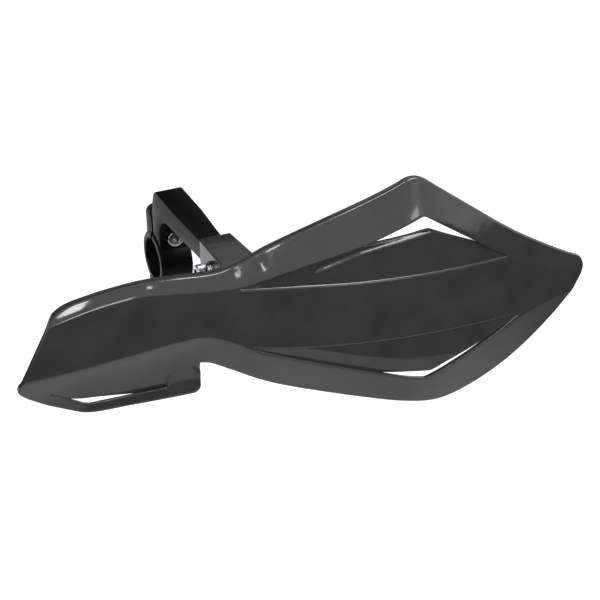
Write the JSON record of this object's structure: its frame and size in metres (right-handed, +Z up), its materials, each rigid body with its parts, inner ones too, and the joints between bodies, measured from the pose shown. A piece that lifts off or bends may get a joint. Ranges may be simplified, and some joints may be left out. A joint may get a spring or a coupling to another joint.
{
  "type": "motorcycle hand guard",
  "caption": "Wing-shaped motorcycle hand guard: a bowed, creased shield with vent slots, bolted to a nylon arm that clamps round the handlebar.",
  "frame": {"origin": "on the handlebar's axis, at the middle of the clamp's width", "axes": "+X along the bar towards the shield's outer tip, -Y ahead of the bar, where the shield is, +Z up"},
  "size_m": [0.3181, 0.1183, 0.1421],
  "materials": {
    "shield_plastic": "gloss moulded",
    "clamp_nylon": "satin moulded",
    "zinc_steel": "bright zinc plate",
    "black_steel": "black zinc plate"
  },
  "bodies": {
    "root": {"shield": "shield_plastic", "mount_arm": "clamp_nylon", "clamp_cap": "clamp_nylon", "upper_clamp_bolt": "black_steel", "lower_clamp_bolt": "black_steel", "upper_clamp_washer": "black_steel", "lower_clamp_washer": "black_steel", "upper_clamp_nut": "black_steel", "lower_clamp_nut": "black_steel", "shield_bolt": "zinc_steel", "shield_washer": "zinc_steel", "shield_spring_washer": "zinc_steel", "shield_nut": "zinc_steel"}
  },
  "joints": []
}
